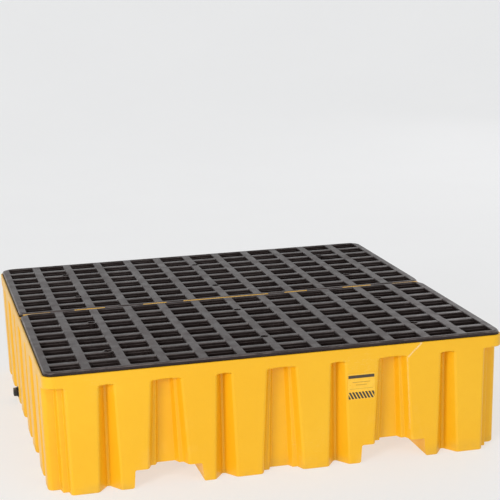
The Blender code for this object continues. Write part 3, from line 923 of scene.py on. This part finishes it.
def make_label(look):
    """A thin film with round corners that lies on the sloping panel, with its print in its material."""
    low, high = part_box("front_label")
    middle = (low + high) / 2
    half_x = (high.x - low.x) / 2
    half_z = (high.z - low.z) / 2
    corners = [(half_x, -half_z), (half_x, half_z), (-half_x, half_z), (-half_x, -half_z)]
    outline = rounded([(x, z, LABEL_CORNER, "", 6) for x, z in corners])
    inner = rounded([(x * 0.997, z * 0.997, LABEL_CORNER, "", 6) for x, z in corners])
    rings = [[(x, LABEL_HALF_THICKNESS, z) for x, z, _, _ in outline]]
    rings.append([(x, -LABEL_HALF_THICKNESS / 2, z) for x, z, _, _ in outline])
    rings.append([(x, -LABEL_HALF_THICKNESS, z) for x, z, _, _ in inner])
    label = new_object("front_label_film", filled(add_loft, rings))
    label.matrix_world = Matrix.Translation(middle) @ Matrix.Rotation(math.atan(SIDE_DRAFT), 4, "X")
    finish_piece(label, look, "label_film", "tub", "front_label")


# Materials


class Shader:
    """A material's node tree, with short calls for its nodes."""

    def __init__(self, name, **values):
        self.material = bpy.data.materials.new(name)
        self.material.use_nodes = True
        self.tree = self.material.node_tree
        self.out = self.tree.nodes["Principled BSDF"]
        for socket, value in values.items():
            self.out.inputs[socket.replace("_", " ")].default_value = value

    def node(self, kind, inputs=(), **settings):
        made = self.tree.nodes.new(kind)
        for key, value in settings.items():
            setattr(made, key, value)
        for socket, value in dict(inputs).items():
            self.put(made.inputs[socket], value)
        return made

    def put(self, socket, value):
        if isinstance(value, bpy.types.NodeSocket):
            self.tree.links.new(value, socket)
        else:
            socket.default_value = value

    def shade(self, socket, value):
        self.put(self.out.inputs[socket], value)

    def place(self, scale=(1.0, 1.0, 1.0)):
        """The piece's own coordinates, stretched."""
        source = self.node("ShaderNodeTexCoord").outputs["Object"]
        return self.node("ShaderNodeMapping", {"Vector": source, "Scale": scale}).outputs[0]

    def noise(self, scale, detail=3.0, roughness=0.55, stretch=(1.0, 1.0, 1.0), distortion=0.0):
        values = {"Vector": self.place(stretch), "Scale": scale, "Detail": detail}
        values.update({"Roughness": roughness, "Distortion": distortion})
        return self.node("ShaderNodeTexNoise", values).outputs["Fac"]

    def ramp(self, value, low, high, start=0.0, end=1.0):
        """A value mapped from low..high to start..end, clamped and smoothed."""
        values = {"Value": value, "From Min": low, "From Max": high, "To Min": start, "To Max": end}
        made = self.node("ShaderNodeMapRange", interpolation_type="SMOOTHSTEP")
        for socket, item in values.items():
            self.put(made.inputs[socket], item)
        return made.outputs["Result"]

    def math(self, operation, first, second=0.0):
        return self.node("ShaderNodeMath", {0: first, 1: second}, operation=operation).outputs[0]

    def mix(self, factor, first, second):
        made = self.node("ShaderNodeMix", data_type="RGBA")
        self.put(made.inputs[0], factor)
        for socket, value in ((6, first), (7, second)):
            linked = isinstance(value, bpy.types.NodeSocket)
            self.put(made.inputs[socket], value if linked else (*value, 1.0))
        return made.outputs[2]

    def bump(self, height, strength, distance, under=None):
        values = {"Height": height, "Strength": strength, "Distance": distance}
        if under:
            values["Normal"] = under
        return self.node("ShaderNodeBump", values).outputs[0]

    def scratches(self, scale, stretch, keep):
        """Thin lines in patches: 1 on a scratch, 0 elsewhere."""
        lines = self.noise(scale, 2.0, 0.5, stretch, 0.6)
        near = self.math("ABSOLUTE", self.math("SUBTRACT", lines, 0.5))
        thin = self.ramp(near, 0.0, 0.012, 1.0, 0.0)
        patches = self.ramp(self.noise(3.1, 2.0), keep, keep + 0.12)
        return self.math("MULTIPLY", thin, patches)


def pale_line(shader, start, end, half_width):
    """A pale line on the front wall between two (x, z) points, used for a scuff and for a painted highlight:
    1 on the line, 0 away from it.
    """
    x, y, z = shader.node("ShaderNodeSeparateXYZ", {0: shader.place()}).outputs
    along = Vector((end[0] - start[0], end[1] - start[1]))
    length = along.length
    along.normalize()
    dx = shader.math("SUBTRACT", x, start[0])
    dz = shader.math("SUBTRACT", z, start[1])
    run = shader.math("ADD", shader.math("MULTIPLY", dx, along.x), shader.math("MULTIPLY", dz, along.y))
    off = shader.math("ADD", shader.math("MULTIPLY", dx, -along.y), shader.math("MULTIPLY", dz, along.x))
    waver = shader.math("MULTIPLY", shader.math("SUBTRACT", shader.noise(60.0), 0.5), half_width * 2)
    off = shader.math("ABSOLUTE", shader.math("ADD", off, waver))
    inside = shader.ramp(off, half_width * 0.4, half_width, 1.0, 0.0)
    begun = shader.ramp(run, -0.003, 0.003)
    ends = shader.math("MULTIPLY", begun, shader.ramp(run, length, length - 0.006))
    front = shader.ramp(y, -DEPTH / 2 + 0.03, -DEPTH / 2 + 0.02)
    broken = shader.ramp(shader.noise(240.0), 0.36, 0.5)
    mark = shader.math("MULTIPLY", shader.math("MULTIPLY", inside, ends), front)
    return shader.math("MULTIPLY", mark, broken)


def tub_look():
    """Yellow moulded polyethylene: clouding, fine grain, scuffs with a painted highlight down one bay edge,
    paler worn edges, a dusty foot.
    """
    shader = Shader("yellow_polyethylene", Specular_IOR_Level=0.36)
    clouds = shader.ramp(shader.noise(2.4, 4.0), 0.3, 0.7)
    mottle = shader.ramp(shader.noise(38.0, 3.0), 0.3, 0.7)
    colour = shader.mix(clouds, YELLOW, YELLOW_CLOUD)
    colour = shader.mix(shader.math("MULTIPLY", mottle, 0.25), colour, YELLOW_MOTTLE)

    fine = shader.scratches(26.0, (1.0, 1.0, 7.0), 0.56)
    cross = shader.scratches(34.0, (6.0, 6.0, 1.2), 0.60)
    marks = shader.math("MAXIMUM", fine, cross)
    colour = shader.mix(shader.math("MULTIPLY", marks, 0.30), colour, YELLOW_SCRATCH)

    worn = shader.ramp(shader.node("ShaderNodeNewGeometry").outputs["Pointiness"], 0.53, 0.64)
    patchy = shader.ramp(shader.noise(22.0, 4.0), 0.42, 0.66)
    worn = shader.math("MULTIPLY", worn, patchy)
    colour = shader.mix(shader.math("MULTIPLY", worn, 0.40), colour, YELLOW_WORN)

    rim_scuff = pale_line(shader, *RIM_SCUFF)
    # The line down the bay's rounded edge is partly a scuff and partly a painted highlight
    edge_scuff_highlight = pale_line(shader, *EDGE_SCUFF_HIGHLIGHT)
    scuffs_and_highlight = shader.math("MAXIMUM", rim_scuff, shader.math("MULTIPLY", edge_scuff_highlight, 0.30))
    colour = shader.mix(shader.math("MULTIPLY", scuffs_and_highlight, 0.55), colour, YELLOW_SCUFF_HIGHLIGHT)

    height = shader.node("ShaderNodeSeparateXYZ", {0: shader.place()}).outputs[2]
    settled = shader.ramp(shader.noise(17.0, 5.0), 0.35, 0.75)
    dust = shader.math("MULTIPLY", shader.ramp(height, 0.045, 0.0), settled)
    colour = shader.mix(shader.math("MULTIPLY", dust, 0.35), colour, YELLOW_DUST)
    shader.shade("Base Color", colour)

    rough = shader.ramp(shader.noise(9.0, 4.0), 0.25, 0.75, 0.30, 0.41)
    rough = shader.math("ADD", rough, shader.math("MULTIPLY", marks, 0.12))
    rough = shader.math("ADD", rough, shader.math("MULTIPLY", dust, 0.2))
    shader.shade("Roughness", rough)

    grain = shader.bump(shader.noise(1500.0, 2.0), 0.10, 0.0003)
    peel = shader.bump(shader.noise(95.0, 2.0), 0.10, 0.0012, grain)
    waves = shader.bump(shader.noise(7.0, 1.0), 0.16, 0.010, peel)
    unmarked = shader.math("SUBTRACT", 1.0, shader.math("MAXIMUM", marks, scuffs_and_highlight))
    shader.shade("Normal", shader.bump(unmarked, 0.25, 0.0004, waves))
    return shader.material


def grate_look():
    """Black-brown moulded polyethylene: dusty tops that also carry a painted sheen, a painted highlight on
    the rounded edges, fine grain.
    """
    shader = Shader("black_polyethylene", Specular_IOR_Level=0.34)
    shader.out.inputs["Specular Tint"].default_value = (1.0, 0.87, 0.86, 1.0)
    clouds = shader.ramp(shader.noise(3.0, 4.0), 0.3, 0.7)
    colour = shader.mix(clouds, BLACK_GRATE, BLACK_GRATE_CLOUD)
    geometry = shader.node("ShaderNodeNewGeometry")
    up = shader.node("ShaderNodeSeparateXYZ", {0: geometry.outputs["Normal"]}).outputs[2]
    # Up-facing tops get patchy dust that also serves as a painted sheen, stronger on the bar tops than on
    # the lower ribs
    top = shader.ramp(up, 0.75, 0.98)
    top_patches = shader.ramp(shader.noise(14.0, 6.0, 0.65), 0.34, 0.72)
    height = shader.node("ShaderNodeSeparateXYZ", {0: shader.place()}).outputs[2]
    bar_height_share = shader.ramp(height, 0.3478, 0.3488, 0.25, 1.0)
    dust_and_sheen = shader.math("MULTIPLY", top, shader.math("ADD", shader.math("MULTIPLY", top_patches, 0.6), 0.25))
    dust_and_sheen = shader.math("MULTIPLY", dust_and_sheen, bar_height_share)
    colour = shader.mix(dust_and_sheen, colour, GRATE_DUST_SHEEN)
    # Painted highlight: the band of the rounded edges between up-facing and front-facing is lightened,
    # broken up by noise
    rounded_edge = shader.math("MULTIPLY", shader.ramp(up, 0.25, 0.45), shader.ramp(up, 0.95, 0.85))
    highlight_breakup = shader.ramp(shader.noise(19.0, 5.0), 0.38, 0.62, 0.25, 0.9)
    edge_highlight = shader.math("MULTIPLY", rounded_edge, highlight_breakup)
    edge_highlight = shader.math("MULTIPLY", edge_highlight, shader.ramp(height, 0.338, 0.341))
    colour = shader.mix(edge_highlight, colour, GRATE_EDGE_HIGHLIGHT)
    edge = shader.ramp(geometry.outputs["Pointiness"], 0.53, 0.66)
    colour = shader.mix(shader.math("MULTIPLY", edge, 0.4), colour, GRATE_EDGE)
    lengthways = shader.scratches(30.0, (1.0, 6.0, 1.0), 0.5)
    crossways = shader.scratches(24.0, (7.0, 1.0, 1.0), 0.52)
    marks = shader.math("MAXIMUM", lengthways, crossways)
    colour = shader.mix(shader.math("MULTIPLY", marks, 0.3), colour, GRATE_SCRATCH)
    shader.shade("Base Color", colour)
    rough = shader.ramp(shader.noise(30.0, 5.0), 0.25, 0.75, 0.24, 0.38)
    shader.shade("Roughness", shader.math("ADD", rough, shader.math("MULTIPLY", dust_and_sheen, 0.12)))
    grain = shader.bump(shader.noise(1300.0, 2.0), 0.15, 0.0003)
    pitted = shader.bump(shader.noise(210.0, 4.0, 0.65), 0.22, 0.0009, grain)
    waves = shader.bump(shader.noise(26.0, 2.0), 0.18, 0.003, pitted)
    shader.shade("Normal", waves)
    return shader.material


def drain_look():
    """Black moulded fitting plastic with light moulding swirls and rubbed corners."""
    shader = Shader("black_fitting_plastic", Specular_IOR_Level=0.5)
    swirls = shader.ramp(shader.noise(120.0, 4.0), 0.3, 0.7)
    colour = shader.mix(swirls, (0.010, 0.010, 0.010), (0.020, 0.019, 0.018))
    edge = shader.ramp(shader.node("ShaderNodeNewGeometry").outputs["Pointiness"], 0.53, 0.62)
    colour = shader.mix(shader.math("MULTIPLY", edge, 0.6), colour, (0.075, 0.072, 0.070))
    shader.shade("Base Color", colour)
    shader.shade("Roughness", shader.ramp(shader.noise(300.0, 4.0), 0.3, 0.7, 0.28, 0.42))
    grain = shader.bump(shader.noise(2600.0, 2.0), 0.15, 0.0002)
    shader.shade("Normal", shader.bump(shader.noise(420.0, 3.0), 0.2, 0.0004, grain))
    return shader.material


def rubber_look():
    """Matt black seal rubber with a bloom of pale dust."""
    shader = Shader("seal_rubber_black", Specular_IOR_Level=0.35)
    bloom = shader.ramp(shader.noise(260.0, 5.0), 0.45, 0.75)
    shader.shade("Base Color", shader.mix(bloom, (0.014, 0.014, 0.014), (0.040, 0.039, 0.037)))
    shader.shade("Roughness", shader.ramp(bloom, 0.0, 1.0, 0.62, 0.80))
    shader.shade("Normal", shader.bump(shader.noise(1800.0, 3.0), 0.3, 0.0002))
    return shader.material


def inside_band(shader, value, low, high, soft=0.0003):
    above = shader.ramp(value, low - soft, low + soft)
    below = shader.ramp(value, high + soft, high - soft)
    return shader.math("MULTIPLY", above, below)


def label_look(half_x, half_z):
    """Printed film without lettering: a dark band, thin rules, and slanting stripes at the foot."""
    shader = Shader("printed_label_film", Specular_IOR_Level=0.5, Coat_Weight=0.35, Coat_Roughness=0.12)
    x, _, z = shader.node("ShaderNodeSeparateXYZ", {0: shader.place()}).outputs
    margin = 0.002
    wide = inside_band(shader, x, -half_x + margin, half_x - margin)
    band = shader.math("MULTIPLY", wide, inside_band(shader, z, half_z - 0.013, half_z - 0.004))
    slant = shader.math("ADD", shader.math("DIVIDE", x, 0.0095), shader.math("DIVIDE", z, 0.018))
    stripes = shader.ramp(shader.math("PINGPONG", slant, 0.5), 0.150, 0.190)
    foot = shader.math("MULTIPLY", wide, inside_band(shader, z, -half_z + 0.002, -half_z + 0.022))
    ink = shader.math("MAXIMUM", band, shader.math("MULTIPLY", foot, stripes))
    for offset, reach, weight in ((0.013, 0.026, 0.0008), (0.005, 0.016, 0.0008), (-0.006, 0.034, 0.0004)):
        rule = inside_band(shader, z, offset - weight, offset + weight, 0.0002)
        rule = shader.math("MULTIPLY", rule, inside_band(shader, x, -reach, reach))
        ink = shader.math("MAXIMUM", ink, shader.math("MULTIPLY", rule, 0.55))
    faded = shader.math("MULTIPLY", ink, shader.ramp(shader.noise(900.0, 4.0), 0.25, 0.45, 0.82, 0.97))
    tint = shader.ramp(shader.noise(60.0, 4.0), 0.3, 0.7)
    film = shader.mix(tint, (0.93, 0.500, 0.016), (0.96, 0.560, 0.030))
    shader.shade("Base Color", shader.mix(faded, film, (0.014, 0.013, 0.012)))
    shader.shade("Roughness", shader.ramp(shader.noise(140.0, 4.0), 0.3, 0.7, 0.26, 0.38))
    creases = shader.bump(shader.noise(34.0, 3.0), 0.2, 0.0006)
    shader.shade("Normal", shader.bump(shader.noise(1400.0, 2.0), 0.1, 0.0002, creases))
    return shader.material


def floor_look():
    shader = Shader("pale_floor", Specular_IOR_Level=0.2, Roughness=0.7, Emission_Strength=0.56)
    shader.out.inputs["Emission Color"].default_value = (1.0, 1.0, 1.0, 1.0)
    shader.shade("Base Color", shader.mix(shader.noise(1.5, 3.0), (0.37, 0.38, 0.39), (0.40, 0.41, 0.42)))
    return shader.material


# Stage


def make_floor():
    """A floor that curves up into a back wall on every side."""
    levels = []
    for step in range(BACKDROP_STEPS + 1):
        turn = math.pi / 2 * step / BACKDROP_STEPS
        radius = FLOOR_RADIUS + BACKDROP_RADIUS * math.sin(turn)
        levels.append((radius, BACKDROP_RADIUS * (1 - math.cos(turn)) - CLEARANCE))
    levels.append((FLOOR_RADIUS + BACKDROP_RADIUS, BACKDROP_TOP))

    builder = bmesh.new()
    angles = circle_angles(BACKDROP_SIDES)
    rings = []
    for radius, z in levels:
        places = [(radius * math.cos(angle), radius * math.sin(angle), z) for angle in angles]
        rings.append([builder.verts.new(place) for place in places])
    builder.faces.new(rings[0])
    for lower, upper in zip(rings, rings[1:]):
        for i in range(BACKDROP_SIDES):
            j = (i + 1) % BACKDROP_SIDES
            builder.faces.new((lower[i], lower[j], upper[j], upper[i]))
    bmesh.ops.recalc_face_normals(builder, faces=builder.faces)
    floor = new_object("studio_floor", builder)
    floor.data.shade_smooth()
    floor.data.materials.append(floor_look())


def make_camera():
    data = bpy.data.cameras.new("camera")
    data.sensor_width = SENSOR_MM
    data.lens = LENS_MM
    camera = bpy.data.objects.new("camera", data)
    bpy.context.scene.collection.objects.link(camera)
    camera.location = CAMERA_PLACE
    camera.rotation_euler = [math.radians(turn) for turn in CAMERA_TURN]
    bpy.context.scene.camera = camera


def add_light(name, place, size, power, colour):
    data = bpy.data.lights.new(name, "AREA")
    data.size = size
    data.energy = power
    data.color = colour
    light = bpy.data.objects.new(name, data)
    bpy.context.scene.collection.objects.link(light)
    light.location = place
    towards = Vector(LIGHT_TARGET) - Vector(place)
    light.rotation_euler = towards.to_track_quat("-Z", "Y").to_euler()


def make_lights():
    world = bpy.data.worlds.new("studio")
    bpy.context.scene.world = world
    world.use_nodes = True
    background = world.node_tree.nodes["Background"]
    background.inputs["Color"].default_value = WORLD_COLOUR
    background.inputs["Strength"].default_value = WORLD_STRENGTH
    for light in LIGHTS:
        add_light(*light)


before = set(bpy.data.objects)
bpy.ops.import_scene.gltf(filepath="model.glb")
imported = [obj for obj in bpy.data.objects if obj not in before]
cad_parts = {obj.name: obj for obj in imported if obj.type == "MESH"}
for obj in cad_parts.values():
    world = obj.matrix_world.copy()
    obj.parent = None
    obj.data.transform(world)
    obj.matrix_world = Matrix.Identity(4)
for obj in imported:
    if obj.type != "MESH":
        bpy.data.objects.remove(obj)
bpy.context.scene.view_settings.view_transform = "Standard"
cad_low, cad_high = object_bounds()
WIDTH = 2 * cad_high.x
DEPTH = cad_high.y - cad_low.y
drain_low, drain_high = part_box("drain_fitting")
DRAIN_Y = (drain_low.y + drain_high.y) / 2
DRAIN_Z = (drain_low.z + drain_high.z) / 2
label_low, label_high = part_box("front_label")

make_tub(tub_look())
make_grates(grate_look())
fitting_plastic = drain_look()
make_round_pieces(fitting_plastic, rubber_look())
make_fitting(fitting_plastic)
make_locknut(fitting_plastic)
make_plug(fitting_plastic)
make_label(label_look((label_high.x - label_low.x) / 2, (label_high.z - label_low.z) / 2))
make_floor()
make_camera()
make_lights()
